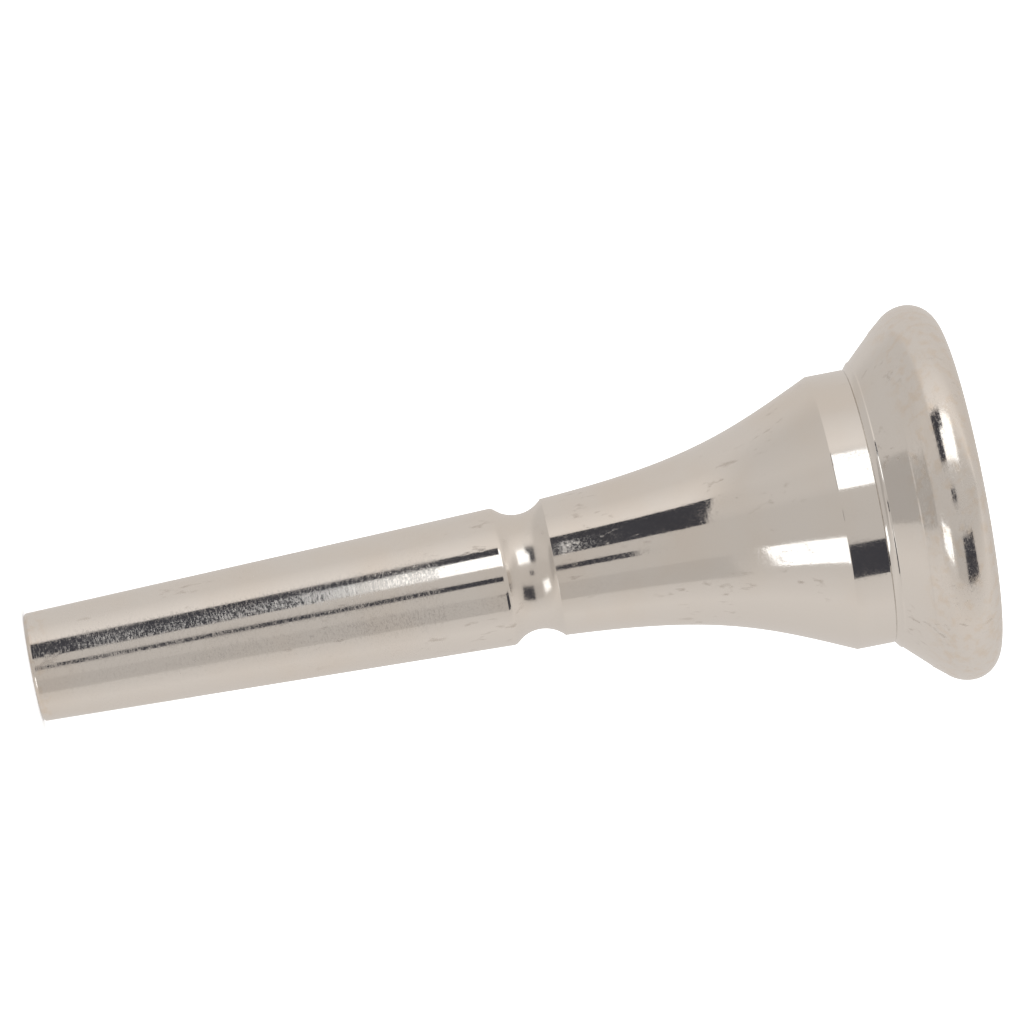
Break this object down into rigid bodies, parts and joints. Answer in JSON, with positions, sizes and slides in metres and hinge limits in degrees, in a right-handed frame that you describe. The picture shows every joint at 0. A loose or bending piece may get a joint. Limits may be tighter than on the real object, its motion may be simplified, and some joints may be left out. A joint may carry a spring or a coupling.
{
  "type": "screw-rim horn mouthpiece",
  "caption": "Horn mouthpiece: tapered shank with a backbore, grooved waist, flared deep cup with a threaded band, and a rounded rim that unscrews from the cup.",
  "frame": {"origin": "centre of the shank's small end face, on the bore axis", "axes": "+Z along the bore axis, from the shank's small end to the rim; X and Y may point anywhere, because both pieces are turned about Z"},
  "size_m": [0.0262, 0.026, 0.065],
  "materials": {
    "plated_underpart": "polished silver plate over brass, with fine handling scratches",
    "plated_rim": "polished silver plate over brass, slightly worn and tarnished near the crest"
  },
  "bodies": {
    "underpart": {"cup_and_shank": "plated_underpart"},
    "screw_rim": {"rim": "plated_rim"}
  },
  "joints": [
    {"name": "rim_lift", "type": "slide", "parent": "underpart", "child": "screw_rim", "axis": [0, 0, 1], "range_m": [0, 0.012]}
  ]
}
